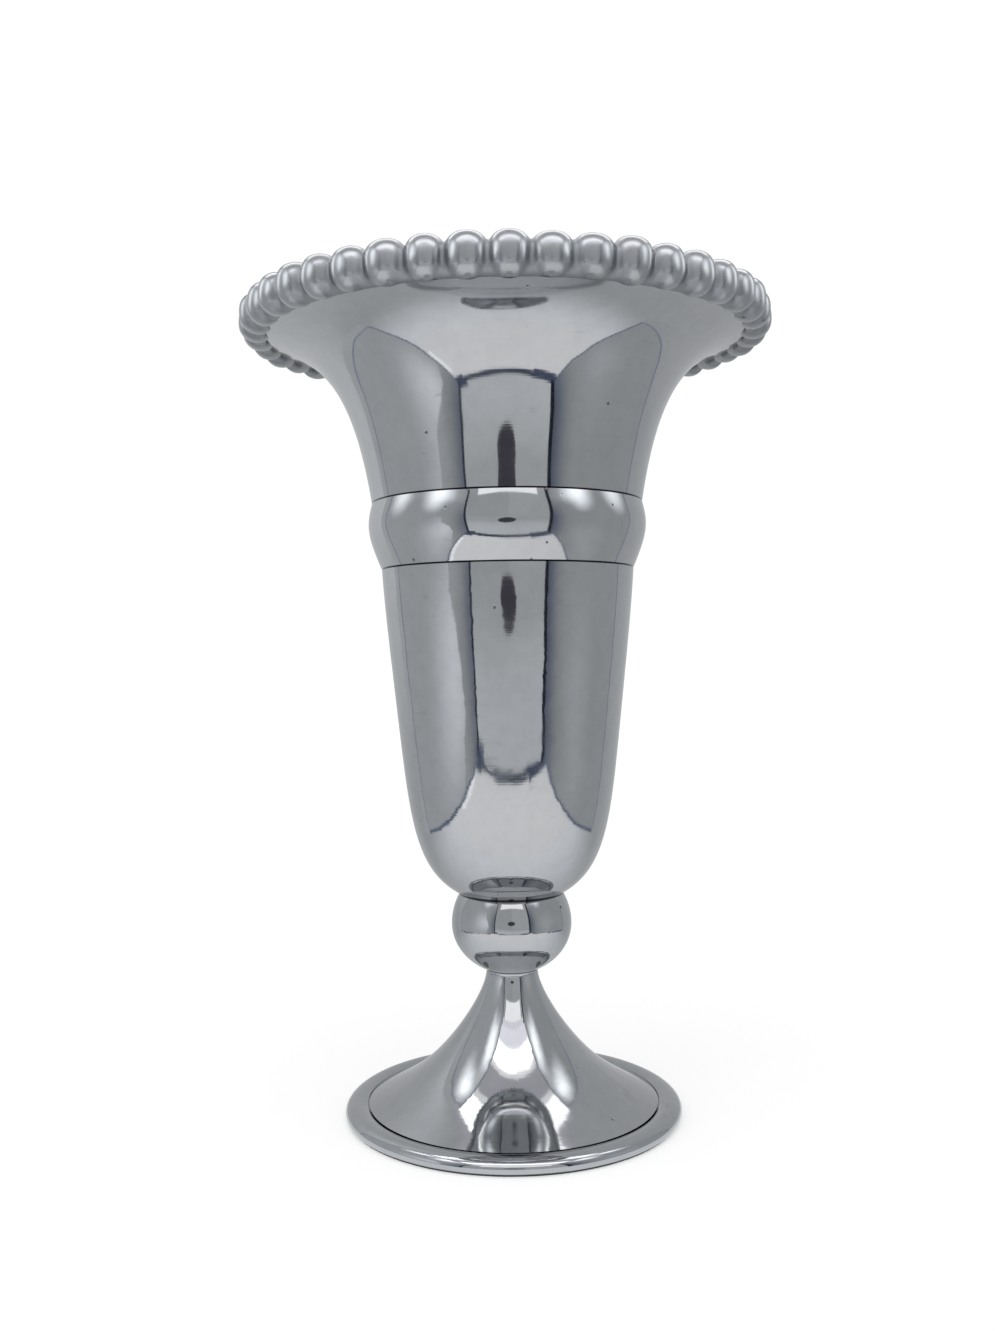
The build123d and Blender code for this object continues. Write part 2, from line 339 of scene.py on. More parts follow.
def join(tree, *values):
    """A vector from its x, y and z."""
    return node(tree, "ShaderNodeCombineXYZ", dict(enumerate(values))).outputs[0]


def smooth_step(tree, value, low, high):
    """0 below low and 1 above high, with a smooth rise."""
    links = {"Value": value, "From Min": low, "From Max": high}
    return node(tree, "ShaderNodeMapRange", links, interpolation_type="SMOOTHSTEP").outputs["Result"]


def mix_colour(tree, share, first, second):
    """A blend of two colours."""
    made = node(tree, "ShaderNodeMix", data_type="RGBA")
    for socket, value in ((made.inputs[0], share), (made.inputs[6], first), (made.inputs[7], second)):
        if isinstance(value, bpy.types.NodeSocket):
            tree.links.new(value, socket)
        elif socket.type == "RGBA":
            socket.default_value = (*value, 1.0)
        else:
            socket.default_value = value
    return made.outputs[2]


def noise(tree, vector, scale, detail=3.0, roughness=0.5):
    """A noise texture's value."""
    links = {"Vector": vector, "Scale": scale, "Detail": detail, "Roughness": roughness}
    return node(tree, "ShaderNodeTexNoise", links).outputs["Fac"]


def bump(tree, height, distance, under=None):
    """A bump on top of another one."""
    links = {"Height": height, "Distance": distance, "Strength": 1.0}
    if under is not None:
        links["Normal"] = under
    return node(tree, "ShaderNodeBump", links).outputs["Normal"]


def object_position(tree):
    """Object coordinates."""
    return node(tree, "ShaderNodeTexCoord").outputs["Object"]


def axis_distance(tree, parts):
    """Distance from the vase's axis."""
    squares = [calc(tree, "MULTIPLY", part, part) for part in parts[:2]]
    return calc(tree, "SQRT", calc(tree, "ADD", *squares))


def start_group(name, inputs, outputs):
    """A new shader node group with its sockets. Returns the tree, its input sockets and its output node."""
    tree = bpy.data.node_groups.new(name, "ShaderNodeTree")
    for label, kind, default in inputs:
        socket = tree.interface.new_socket(name=label, in_out="INPUT", socket_type=f"NodeSocket{kind}")
        if default is not None:
            socket.default_value = default
    for label in outputs:
        tree.interface.new_socket(name=label, in_out="OUTPUT", socket_type="NodeSocketFloat")
    return tree, tree.nodes.new("NodeGroupInput").outputs, tree.nodes.new("NodeGroupOutput")


# Effects that several finishes share


def turning_lines_group():
    """Fine rings left by the lathe: a height and a slower streak."""
    inputs = [
        ("Position", "Vector", None), ("Outward Share", "Float", 1.0), ("Lines per Metre", "Float", 1600.0),
    ]
    tree, given, result = start_group("Turning Lines", inputs, ["Height", "Streak"])
    drift, slowness, slow_share = 9.0, 0.14, 0.8
    parts = split(tree, given["Position"])
    along = calc(tree, "MULTIPLY_ADD", axis_distance(tree, parts), given["Outward Share"], parts[2])
    lines = calc(tree, "MULTIPLY", along, given["Lines per Metre"])
    drift_x, drift_y = (calc(tree, "MULTIPLY", part, drift) for part in parts[:2])
    fine = noise(tree, join(tree, drift_x, drift_y, lines), 1.0, 2.0)
    slow = noise(tree, join(tree, drift_x, drift_y, calc(tree, "MULTIPLY", lines, slowness)), 1.0, 3.0, 0.6)
    tree.links.new(calc(tree, "MULTIPLY_ADD", slow, slow_share, fine), result.inputs["Height"])
    tree.links.new(smooth_step(tree, slow, 0.3, 0.7), result.inputs["Streak"])
    return tree


def casting_pits_group():
    """Small scattered pits, in clusters."""
    inputs = [("Position", "Vector", None), ("Pits per Metre", "Float", 170.0), ("Amount", "Float", 0.5)]
    tree, given, result = start_group("Casting Pits", inputs, ["Pit"])
    least_size, size_range, clusters_per_metre = 0.035, 0.09, 34.0
    links = {"Vector": given["Position"], "Scale": given["Pits per Metre"], "Randomness": 1.0}
    cells = node(tree, "ShaderNodeTexVoronoi", links, feature="F1").outputs
    chance = node(tree, "ShaderNodeSeparateColor", {0: cells["Color"]}).outputs
    size = calc(tree, "MULTIPLY_ADD", chance[1], size_range, least_size)
    edge = smooth_step(tree, calc(tree, "DIVIDE", cells["Distance"], size), 0.6, 1.3)
    pit = calc(tree, "SUBTRACT", 1.0, edge)
    cluster = smooth_step(tree, noise(tree, given["Position"], clusters_per_metre, 2.0), 0.45, 0.62)
    kept = calc(tree, "LESS_THAN", chance[0], calc(tree, "MULTIPLY", given["Amount"], cluster))
    tree.links.new(calc(tree, "MULTIPLY", pit, kept), result.inputs["Pit"])
    return tree


def polish_haze_group():
    """Uneven polish: cloudy patches with finer mottling in them."""
    inputs = [("Position", "Vector", None), ("Patches per Metre", "Float", 22.0)]
    tree, given, result = start_group("Polish Haze", inputs, ["Haze", "Mottle"])
    finer = 9.0
    patches = noise(tree, given["Position"], given["Patches per Metre"], 4.0, 0.55)
    finer_scale = calc(tree, "MULTIPLY", given["Patches per Metre"], finer)
    mottle = noise(tree, given["Position"], finer_scale, 3.0, 0.6)
    tree.links.new(smooth_step(tree, patches, 0.35, 0.75), result.inputs["Haze"])
    tree.links.new(smooth_step(tree, mottle, 0.3, 0.75), result.inputs["Mottle"])
    return tree


def stains_group():
    """Faint specks and short smears left on the metal, in loose clusters and drawn out round the axis."""
    inputs = [("Position", "Vector", None), ("Specks per Metre", "Float", 260.0)]
    tree, given, result = start_group("Stains", inputs, ["Stain", "Scratch"])
    metres_per_radian, outward, clusters_per_metre = 0.016, 0.8, 26.0
    scratch_narrowness, scratch_scale = 14.0, 0.8
    parts = split(tree, given["Position"])
    turn = calc(tree, "ARCTAN2", parts[0], calc(tree, "MULTIPLY", parts[1], -1.0))
    along = calc(tree, "MULTIPLY_ADD", axis_distance(tree, parts), outward, parts[2])
    drawn = join(tree, calc(tree, "MULTIPLY", turn, metres_per_radian), along)
    specks = smooth_step(tree, noise(tree, drawn, given["Specks per Metre"], 4.0, 0.65), 0.58, 0.74)
    cluster = smooth_step(tree, noise(tree, given["Position"], clusters_per_metre, 3.0, 0.6), 0.46, 0.68)
    tree.links.new(calc(tree, "MULTIPLY", specks, cluster), result.inputs["Stain"])
    thin = vector_calc(tree, "MULTIPLY", drawn, (1.0, scratch_narrowness, 1.0))[0]
    scratch_size = calc(tree, "MULTIPLY", given["Specks per Metre"], scratch_scale)
    scratches = smooth_step(tree, noise(tree, thin, scratch_size, 3.0, 0.7), 0.6, 0.72)
    tree.links.new(scratches, result.inputs["Scratch"])
    return tree


def inner_wall_group():
    """1 on a surface that faces the vase's axis, 0 on one that faces away."""
    inputs = [("Position", "Vector", None), ("Normal", "Vector", None)]
    tree, given, result = start_group("Inner Wall", inputs, ["Inside"])
    level_place = vector_calc(tree, "MULTIPLY", given["Position"], (1.0, 1.0, 0.0))[0]
    outward = vector_calc(tree, "NORMALIZE", level_place)[0]
    facing = vector_calc(tree, "DOT_PRODUCT", outward, given["Normal"])["Value"]
    tree.links.new(smooth_step(tree, facing, -0.05, -0.3), result.inputs["Inside"])
    return tree


def joint_grime_and_shade_group():
    """A thin dark line round the vase at one height: grime in a joint, and painted shade where it spreads
    wide in a crease.
    """
    inputs = [("Position", "Vector", None), ("Height", "Float", 0.2), ("Reach", "Float", 0.0006)]
    tree, given, result = start_group("Joint Grime", inputs, ["Grime"])
    patches_per_metre, least_reach, reach_range = 60.0, 0.5, 0.9
    height = split(tree, given["Position"])[2]
    away = calc(tree, "ABSOLUTE", calc(tree, "SUBTRACT", height, given["Height"]))
    patches = noise(tree, given["Position"], patches_per_metre, 3.0)
    share = calc(tree, "MULTIPLY_ADD", patches, reach_range, least_reach)
    reach = calc(tree, "MULTIPLY", given["Reach"], share)
    far = smooth_step(tree, calc(tree, "DIVIDE", away, reach), 0.35, 1.0)
    tree.links.new(calc(tree, "SUBTRACT", 1.0, far), result.inputs["Grime"])
    return tree


def bead_grooves_group():
    """1 in the grooves between the beads and on the land under them, 0 on the beads' fronts."""
    inputs = [("Position", "Vector", None), ("Beads", "Float", 44.0), ("Land Height", "Float", 0.3085)]
    tree, given, result = start_group("Bead Grooves", inputs, ["Groove"])
    parts = split(tree, given["Position"])
    turn = calc(tree, "ARCTAN2", parts[0], parts[1])
    turns = calc(tree, "MULTIPLY_ADD", turn, calc(tree, "DIVIDE", given["Beads"], 2 * pi), 0.5)
    from_middle = calc(tree, "ABSOLUTE", calc(tree, "SUBTRACT", calc(tree, "FRACT", turns), 0.5))
    off = calc(tree, "MULTIPLY", from_middle, 2.0)
    low = smooth_step(tree, calc(tree, "SUBTRACT", parts[2], given["Land Height"]), 0.0008, -0.0016)
    web = calc(tree, "MULTIPLY", low, smooth_step(tree, off, 0.3, 0.62))
    tree.links.new(calc(tree, "MAXIMUM", web, smooth_step(tree, off, 0.66, 0.95)), result.inputs["Groove"])
    return tree


EFFECTS = {
    "Turning Lines": turning_lines_group,
    "Casting Pits": casting_pits_group,
    "Polish Haze": polish_haze_group,
    "Stains": stains_group,
    "Inner Wall": inner_wall_group,
    "Joint Grime": joint_grime_and_shade_group,
    "Bead Grooves": bead_grooves_group,
}


def effect(tree, name, **values):
    """Places a shared effect in a material. Its group is built when it is first asked for."""
    made = tree.nodes.new("ShaderNodeGroup")
    made.node_tree = bpy.data.node_groups.get(name) or EFFECTS[name]()
    for key, value in values.items():
        socket = made.inputs[key.replace("_", " ")]
        if isinstance(value, bpy.types.NodeSocket):
            tree.links.new(value, socket)
        else:
            socket.default_value = value
    return made.outputs


# Finishes


def start_material(name):
    """A material with an empty node tree. Returns the material, its tree and its surface input."""
    material = bpy.data.materials.new(name)
    material.use_nodes = True
    tree = material.node_tree
    tree.nodes.clear()
    return material, tree, tree.nodes.new("ShaderNodeOutputMaterial").inputs["Surface"]


def principled(tree, surface, **values):
    """The Principled shader, linked to the surface."""
    links = {key.replace("_", " "): value for key, value in values.items()}
    tree.links.new(node(tree, "ShaderNodeBsdfPrincipled", links).outputs[0], surface)


def aluminium(
    name, outward_share, joints=(), pits=0.25, haze=1.0, lines=1.0, waves=1.0, dull_inside=True, beads=0
):
    """Polished cast aluminium with turning lines, slow waves, casting pits and hazy patches."""
    metal = bpy.context.scene.vase_metal
    material, tree, surface = start_material(name)
    position = object_position(tree)
    line_count, pit_count = 1.0 / metal.line_spacing, 1.0 / metal.pit_spacing
    turned = effect(
        tree, "Turning Lines", Position=position, Outward_Share=outward_share, Lines_per_Metre=line_count
    )
    pitted = effect(tree, "Casting Pits", Position=position, Amount=pits, Pits_per_Metre=pit_count)["Pit"]
    cloudy = effect(tree, "Polish Haze", Position=position)
    worn = effect(tree, "Stains", Position=position)
    waving = noise(tree, position, 1.0 / metal.wave_length, 1.5, 0.4)

    tint = calc(tree, "MULTIPLY", cloudy["Haze"], HAZE_DULL * haze)
    tint = calc(tree, "MULTIPLY_ADD", cloudy["Mottle"], MOTTLE_DULL, tint)
    tint = calc(tree, "MULTIPLY_ADD", worn["Stain"], STAIN_DULL, tint)
    rough = calc(tree, "MULTIPLY_ADD", cloudy["Haze"], metal.haze_roughness * haze, metal.gloss_roughness)
    rough = calc(tree, "MULTIPLY_ADD", turned["Streak"], STREAK_ROUGH * lines, rough)
    rough = calc(tree, "MULTIPLY_ADD", pitted, PIT_ROUGH, rough)
    rough = calc(tree, "MULTIPLY_ADD", worn["Stain"], STAIN_ROUGH, rough)
    rough = calc(tree, "MULTIPLY_ADD", worn["Scratch"], SCRATCH_ROUGH * lines, rough)
    if dull_inside:
        normal = node(tree, "ShaderNodeNewGeometry").outputs["Normal"]
        inside = effect(tree, "Inner Wall", Position=position, Normal=normal)["Inside"]
        tint = calc(tree, "MULTIPLY_ADD", inside, INSIDE_DULL, tint, clamp=True)
        rough = calc(tree, "MULTIPLY_ADD", inside, INSIDE_ROUGH, rough, clamp=True)
    if beads:
        groove = effect(tree, "Bead Grooves", Position=position, Beads=float(beads))["Groove"]
        tint = calc(tree, "ADD", tint, RIM_DULL)
        # The grooves between and under the beads get darker: duller metal, and painted shade
        tint = calc(tree, "MULTIPLY_ADD", groove, GROOVE_DULL_AND_SHADE, tint, clamp=True)
        rough = calc(tree, "ADD", rough, RIM_ROUGH)
        rough = calc(tree, "MULTIPLY_ADD", groove, GROOVE_ROUGH, rough, clamp=True)

    dirt_and_shade = calc(tree, "MULTIPLY", pitted, PIT_GRIME)
    # Dark lines at the joints: grime, and painted shade in the wide creases round the knop and under the cup
    for height, reach in joints:
        grime_and_shade = effect(tree, "Joint Grime", Position=position, Height=height, Reach=reach)["Grime"]
        dirt_and_shade = calc(tree, "MAXIMUM", dirt_and_shade, calc(tree, "MULTIPLY", grime_and_shade, JOINT_GRIME_AND_SHADE))
    colour = mix_colour(tree, tint, tuple(metal.colour), tuple(metal.dull_and_shade_colour))
    colour = mix_colour(tree, dirt_and_shade, colour, tuple(metal.grime_and_shade_colour))

    relief = bump(tree, waving, metal.wave_depth * waves)
    relief = bump(tree, turned["Height"], metal.line_depth * lines, relief)
    relief = bump(tree, calc(tree, "SUBTRACT", 1.0, pitted), metal.pit_depth, relief)
    tangent = node(tree, "ShaderNodeTangent", direction_type="RADIAL", axis="Z").outputs[0]
    principled(
        tree, surface, Base_Color=colour, Metallic=1.0, Roughness=rough, Normal=relief,
        Tangent=tangent, Anisotropic=0.35, Anisotropic_Rotation=0.25,
    )
    return material


def zinc_steel():
    """Dull zinc-plated steel with fine mottling."""
    material, tree, surface = start_material("zinc_plated_steel")
    dark_zinc = (0.33, 0.34, 0.36)
    cloudy = effect(tree, "Polish Haze", Position=object_position(tree), Patches_per_Metre=160.0)
    steel_colour = tuple(bpy.context.scene.vase_fixings.steel_colour)
    colour = mix_colour(tree, cloudy["Mottle"], steel_colour, dark_zinc)
    rough = calc(tree, "MULTIPLY_ADD", cloudy["Haze"], 0.2, 0.28)
    relief = bump(tree, cloudy["Mottle"], 0.00003)
    principled(tree, surface, Base_Color=colour, Metallic=1.0, Roughness=rough, Normal=relief)
    return material


def seal_rubber():
    """Matt black rubber with a fine grain."""
    material, tree, surface = start_material("black_seal_rubber")
    position = object_position(tree)
    dusty = (0.09, 0.088, 0.085)
    grain = noise(tree, position, 2600.0, 3.0)
    dust = smooth_step(tree, noise(tree, position, 240.0, 4.0), 0.5, 0.75)
    colour = mix_colour(tree, dust, tuple(bpy.context.scene.vase_fixings.rubber_colour), dusty)
    rough = calc(tree, "MULTIPLY_ADD", grain, 0.2, 0.6)
    principled(tree, surface, Base_Color=colour, Roughness=rough, Normal=bump(tree, grain, 0.00004))
    return material


def base_felt():
    """Dark pressed felt, with matted fibres and a little lint."""
    material, tree, surface = start_material("dark_base_felt")
    position = object_position(tree)
    pale_fibre, lint_colour = (0.065, 0.075, 0.095), (0.2, 0.2, 0.21)
    stretched = node(tree, "ShaderNodeMapping", {"Vector": position, "Scale": (1.0, 1.0, 3.0)}).outputs[0]
    fibres = noise(tree, stretched, 1500.0, 5.0, 0.7)
    clumps = noise(tree, position, 260.0, 3.0)
    lint = smooth_step(tree, noise(tree, position, 900.0, 2.0), 0.64, 0.72)
    colour = mix_colour(tree, clumps, tuple(bpy.context.scene.vase_fixings.felt_colour), pale_fibre)
    colour = mix_colour(tree, calc(tree, "MULTIPLY", lint, 0.5), colour, lint_colour)
    rough = calc(tree, "MULTIPLY_ADD", fibres, 0.15, 0.85)
    relief = bump(tree, clumps, 0.0003, bump(tree, fibres, 0.00025))
    principled(
        tree, surface, Base_Color=colour, Roughness=rough, Normal=relief,
        Sheen_Weight=0.35, Sheen_Roughness=0.6,
    )
    return material


# Piece helpers


def dress(name, material):
    """Gives a CAD node a new material."""
    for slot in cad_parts[name].material_slots:
        slot.material = material


def put_in_scene(name, made, material):
    """Turns a bmesh into an object with one material."""
    mesh = bpy.data.meshes.new(name)
    made.to_mesh(mesh)
    made.free()
    mesh.materials.append(material)
    piece = bpy.data.objects.new(name, mesh)
    bpy.context.scene.collection.objects.link(piece)
    return piece


def finish_piece(name, made, material, slot, *replaced):
    """Turns a bmesh into a smooth piece of the vase that rides on its body."""
    piece = put_in_scene(name, made, material)
    for face in piece.data.polygons:
        face.use_smooth = True
    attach(piece, BODY)
    if replaced:
        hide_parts(*replaced)
    return piece


def turned_ring(outline, steps):
    """A closed outline of (radius, height) points, spun about the vase's axis."""
    made = bmesh.new()
    verts = [made.verts.new((radius, 0.0, height)) for radius, height in outline]
    edges = [made.edges.new(pair) for pair in zip(verts, verts[1:] + verts[:1])]
    spin(made, verts + edges, 2 * pi, steps, use_merge=True)
    bmesh.ops.remove_doubles(made, verts=made.verts, dist=0.000002)
    bmesh.ops.recalc_face_normals(made, faces=made.faces)
    return made


def spin(made, parts, angle, steps, **settings):
    """Spins vertices and edges about the vase's axis."""
    bmesh.ops.spin(made, geom=parts, cent=(0, 0, 0), axis=(0, 0, 1), angle=angle, steps=steps, **settings)


def apply_modifiers(piece):
    """Makes a piece's modifiers part of its mesh."""
    graph = bpy.context.evaluated_depsgraph_get()
    mesh = bpy.data.meshes.new_from_object(piece.evaluated_get(graph))
    piece.modifiers.clear()
    piece.data = mesh


# Pieces


class VASE_OT_shells(bpy.types.Operator):
    """Polish the bell, the girdle and the cup"""

    bl_idname = "vase.shells"
    bl_label = "Shells"

    def execute(self, context):
        girdle_joints = [(GIRDLE_BELL, TIGHT), (CUP_GIRDLE, TIGHT)]
        # The wide band under the cup is painted shade in its crease with the ball, as well as grime
        cup_joints = [(CUP_GIRDLE, TIGHT), (KNOP_CUP, UNDER_CUP)]
        dress("bell", aluminium("bell_metal", 1.0, [(GIRDLE_BELL, TIGHT)], pits=0.12))
        dress("girdle", aluminium("girdle_metal", 1.0, girdle_joints, pits=0.4))
        dress("cup", aluminium("cup_metal", 1.0, cup_joints, pits=0.12))
        return {"FINISHED"}


class VASE_OT_rim(bpy.types.Operator):
    """Cast the beaded rim as one fused ring"""

    bl_idname = "vase.rim"
    bl_label = "Beaded Rim"

    def land(self):
        """The plain ring under the beads: a half round outside, and a flange on the bell's lip inside."""
        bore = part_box("bell")[1].x + LIP_CLEARANCE
        middle, seat = bottom_of("beaded_rim") + LAND_TUBE, top_of("bell")
        turns = [radians(degree) for degree in range(0, 181, LAND_STEP_DEGREES)]
        half_round = [(LAND_RADIUS + LAND_TUBE * sin(turn), middle - LAND_TUBE * cos(turn)) for turn in turns]
        flange = [(FLANGE_RADIUS, seat + FLANGE_NOSE), (FLANGE_RADIUS, seat), (bore, seat)]
        return turned_ring([*half_round, *flange, (bore, middle - LAND_TUBE)], RIM_STEPS)

    def bead(self, ring, rim, number, chance):
        """One bead: a sphere with a fuller front and a narrower bottom, a little uneven, on its circle."""
        angle = -pi / 2 + 2 * pi * number / rim.bead_count
        uneven = [1 + chance.uniform(-1, 1) * rim.unevenness for _ in range(3)]
        lean = Euler([chance.uniform(-1, 1) * rim.unevenness * BEAD_LEAN for _ in range(3)])
        halves = (rim.half_depth * uneven[0], rim.half_width * uneven[1], rim.half_height * uneven[2], 1.0)
        place = Matrix.Rotation(angle, 4, "Z") @ Matrix.Translation((rim.circle_radius, 0, rim.centre_height))
        place = place @ lean.to_matrix().to_4x4() @ Matrix.Diagonal(halves)
        made = bmesh.ops.create_uvsphere(ring, u_segments=BEAD_SEGMENTS, v_segments=BEAD_RINGS, radius=1.0)
        for vert in made["verts"]:
            width = max(cos(asin(max(-1.0, min(1.0, vert.co.z)))), NEARLY_ZERO)
            swell = width ** (rim.fullness - 1.0)
            swell *= 1.0 - rim.taper * max(0.0, -vert.co.z) ** 2
            height = copysign(abs(vert.co.z) ** rim.fullness, vert.co.z)
            vert.co = (vert.co.x * swell, vert.co.y * swell, height)
        bmesh.ops.transform(ring, matrix=place, verts=made["verts"])

    def execute(self, context):
        rim = context.scene.vase_rim
        ring = self.land()
        chance = random.Random(7)
        for number in range(rim.bead_count):
            self.bead(ring, rim, number, chance)
        metal = aluminium(
            "rim_metal", 1.0, pits=0.8, haze=1.3, lines=0.3, waves=1.4,
            dull_inside=False, beads=rim.bead_count,
        )
        piece = finish_piece("cast_beaded_rim", ring, metal, METAL, "beaded_rim")
        fuse = piece.modifiers.new("fuse", "REMESH")
        fuse.mode = "VOXEL"
        fuse.voxel_size = rim.voxel
        fuse.use_smooth_shade = True
        soften = piece.modifiers.new("soften", "SMOOTH")
        soften.factor = SOFTEN_SHARE
        soften.iterations = SOFTEN_ROUNDS
        apply_modifiers(piece)
        return {"FINISHED"}


class VASE_OT_knop(bpy.types.Operator):
    """Polish the ball under the cup"""

    bl_idname = "vase.knop"
    bl_label = "Ball Knop"

    def execute(self, context):
        # The bands round the ball are painted shade in its creases, as well as grime
        joints = [(KNOP_CUP, ROUND_KNOP), (FOOT_KNOP, ROUND_KNOP)]
        dress("knop", aluminium("knop_metal", 0.0, joints, pits=0.2, dull_inside=False))
        return {"FINISHED"}


class VASE_OT_foot(bpy.types.Operator):
    """Polish the foot's cone and the roll round it"""

    bl_idname = "vase.foot"
    bl_label = "Foot"

    def execute(self, context):
        dress("foot_cone", aluminium("foot_metal", -1.0, [(FOOT_KNOP, TIGHT)], pits=0.12))
        roll_metal = aluminium("foot_rim_metal", -1.0, [(FOOT_FELT, TIGHT)], pits=0.2, dull_inside=False)
        dress("foot_rim", roll_metal)
        return {"FINISHED"}


class VASE_OT_felt(bpy.types.Operator):
    """Cut the felt ring under the foot"""

    bl_idname = "vase.felt"
    bl_label = "Base Felt"

    def execute(self, context):
        low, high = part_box("base_pad")
        outer, inner, soft, corner = high.x, FELT_INNER_RADIUS, FELT_EDGE, FELT_CORNER * FELT_EDGE
        bottom = [(inner + soft, low.z), (outer - soft, low.z)]
        outside = [(outer - corner, low.z + corner), (outer, low.z + soft), (outer, high.z - soft)]
        top = [(outer - soft, high.z), (inner + soft, high.z)]
        inside = [(inner, high.z - soft), (inner, low.z + soft), (inner + corner, low.z + corner)]
        ring = turned_ring([*bottom, *outside, *top, *inside], FELT_STEPS)
        chance = random.Random(3)
        for vert in ring.verts:
            if vert.co.z < high.z - 0.5 * soft:
                away = vert.co.xy.length
                outward = 1 if away > (inner + outer) / 2 else -1
                stretch = 1 + chance.uniform(*FELT_CUT) * outward / away
                vert.co.x *= stretch
                vert.co.y *= stretch
        finish_piece("felt_ring", ring, base_felt(), FELT, "base_pad")
        return {"FINISHED"}


class VASE_OT_fixings(bpy.types.Operator):
    """Finish the seal, the washers, the nut and the bolt, and cut the bolt's thread"""

    bl_idname = "vase.fixings"
    bl_label = "Bolt and Seal"

    def thread(self, fixings, steel):
        """The turn of thread that stands out below the nut."""
        pitch, half = fixings.thread_pitch, fixings.thread_pitch * THREAD_FLANK
        start = bottom_of("tie_bolt") + THREAD_START
        ridge = ((0.0, -half), (fixings.thread_depth, 0.0), (0.0, half))
        turns = (bottom_of("tie_nut") - THREAD_CLEARANCE - half - start) / pitch
        made = bmesh.new()
        verts = [made.verts.new((THREAD_ROOT + out, 0.0, start + up)) for out, up in ridge]
        edges = [made.edges.new(pair) for pair in zip(verts, verts[1:] + verts[:1])]
        rise = (0, 0, pitch / THREAD_STEPS)
        spin(made, verts + edges, 2 * pi * turns, int(THREAD_STEPS * turns), dvec=rise)
        bmesh.ops.holes_fill(made, edges=made.edges, sides=3)
        bmesh.ops.recalc_face_normals(made, faces=made.faces)
        finish_piece("bolt_thread", made, steel, STEEL)

    def execute(self, context):
        steel = zinc_steel()
        for name in ("tie_bolt", "tie_nut", "clamp_washer", "spring_washer"):
            dress(name, steel)
        dress("bolt_seal", seal_rubber())
        self.thread(context.scene.vase_fixings, steel)
        return {"FINISHED"}


# Stage

WHITE, COOL, GREY = (1.0, 1.0, 1.0), (0.95, 0.975, 1.0), (0.96, 0.98, 1.0)
LILAC, NAVY, SHADE = (0.97, 0.96, 1.03), (0.62, 0.78, 1.25), (0.82, 0.93, 1.18)

# The tent's side walls: name, side of the axis, strength, how much brighter in the middle, and the
# strength and width of the front post
TENT_SIDES = (("left", -1, 0.58, 0.12, 0.06, 0.018), ("right", 1, 0.50, 0.10, 0.03, 0.03))

# Soft spots on both walls, where the light bars fall on them, and the dim front corner: depth, height,
# reach along the wall, reach upwards, change of strength
MIDDLE_SPOT = (-0.135, 0.09, 0.13, 0.14)
BAR_SPOTS = (
    (-0.25, 0.45, 0.09, 0.12, 0.7), (-0.175, 0.415, 0.10, 0.17, 1.6), (0.02, 0.41, 0.085, 0.17, 1.7),
)
TOP_SPOT = (-0.1, 0.47, 0.40, 0.13, 0.35)
DIM_SPOT = (-0.46, 0.12, 0.24, 0.50, -0.34)

# The fold in the left wall: its edge as (depth, height) points from the floor up, and its sheen
FOLD_EDGE = (
    (-0.25, 0.009), (-0.295, 0.07), (-0.275, 0.13), (-0.225, 0.18), (-0.235, 0.22), (-0.16, 0.27),
)
FOLD_BACK = ((-0.06, 0.27), (-0.06, 0.009))
FOLD_SHEEN = (-0.26, 0.12, 0.20, 0.15, 0.46)

# Depths of the back sheet, the front edge of the floor before it, the light bars with the glow beside
# them, and the room before the tent; what lies before the vase has a negative depth
BACK_SHEET = 0.145
FLOOR_BACK = -0.12
FRONT_BAR, FRONT_GLOW = (-0.33, -0.225), (-0.225, -0.20)
BACK_BAR, BACK_GLOW = (-0.01, 0.12), (-0.05, -0.01)
FAR = -2.6
BAR_HALF_LENGTH = 0.28

# The soft light of the white studio, and how much brighter it is where it is seen directly
SOFT_LIGHT, SEEN_WHITE = 0.5, 0.52


def glow(name, colour, strength, spots=()):
    """A material that glows evenly, or more and less in soft spots: (place, reach in x, y and z, change)."""
    material, tree, surface = start_material(name)
    brightness = strength
    for place, reach, change in spots:
        offset = vector_calc(tree, "SUBTRACT", object_position(tree), place)[0]
        away = vector_calc(tree, "LENGTH", vector_calc(tree, "DIVIDE", offset, reach)[0])["Value"]
        brightness = calc(tree, "MULTIPLY_ADD", smooth_step(tree, away, 1.0, 0.0), change, brightness)
    if spots:
        colour = mix_colour(tree, smooth_step(tree, brightness, 0.45, 0.2), colour, SHADE)
    else:
        colour = (*colour, 1.0)
    shader = node(tree, "ShaderNodeEmission", {"Color": colour, "Strength": brightness})
    tree.links.new(shader.outputs[0], surface)
    return material


def card(name, corners, colour, strength, spots=()):
    """A flat card through its corners, out of the camera's sight: it only shows in the metal."""
    made = bmesh.new()
    made.faces.new([made.verts.new(corner) for corner in corners])
    piece = put_in_scene(name, made, glow(name, colour, strength, spots))
    for ray in ("camera", "diffuse", "shadow", "transmission", "volume_scatter"):
        setattr(piece, f"visible_{ray}", False)


def upright(name, x0, y0, x1, y1, low, high, colour, strength, spots=()):
    """An upright card from one floor point to another."""
    card(name, [(x0, y0, low), (x1, y1, low), (x1, y1, high), (x0, y0, high)], colour, strength, spots)


def level(name, x0, x1, y0, y1, height, colour, strength, spots=()):
    """A level card."""
    corners = [(x0, y0, height), (x1, y0, height), (x1, y1, height), (x0, y1, height)]
    card(name, corners, colour, strength, spots)


def seen_directly(tree):
    """1 for camera, glossy and transmission rays."""
    path = node(tree, "ShaderNodeLightPath").outputs
    camera_or_glossy = calc(tree, "MAXIMUM", path["Is Camera Ray"], path["Is Glossy Ray"])
    return calc(tree, "MAXIMUM", camera_or_glossy, path["Is Transmission Ray"])


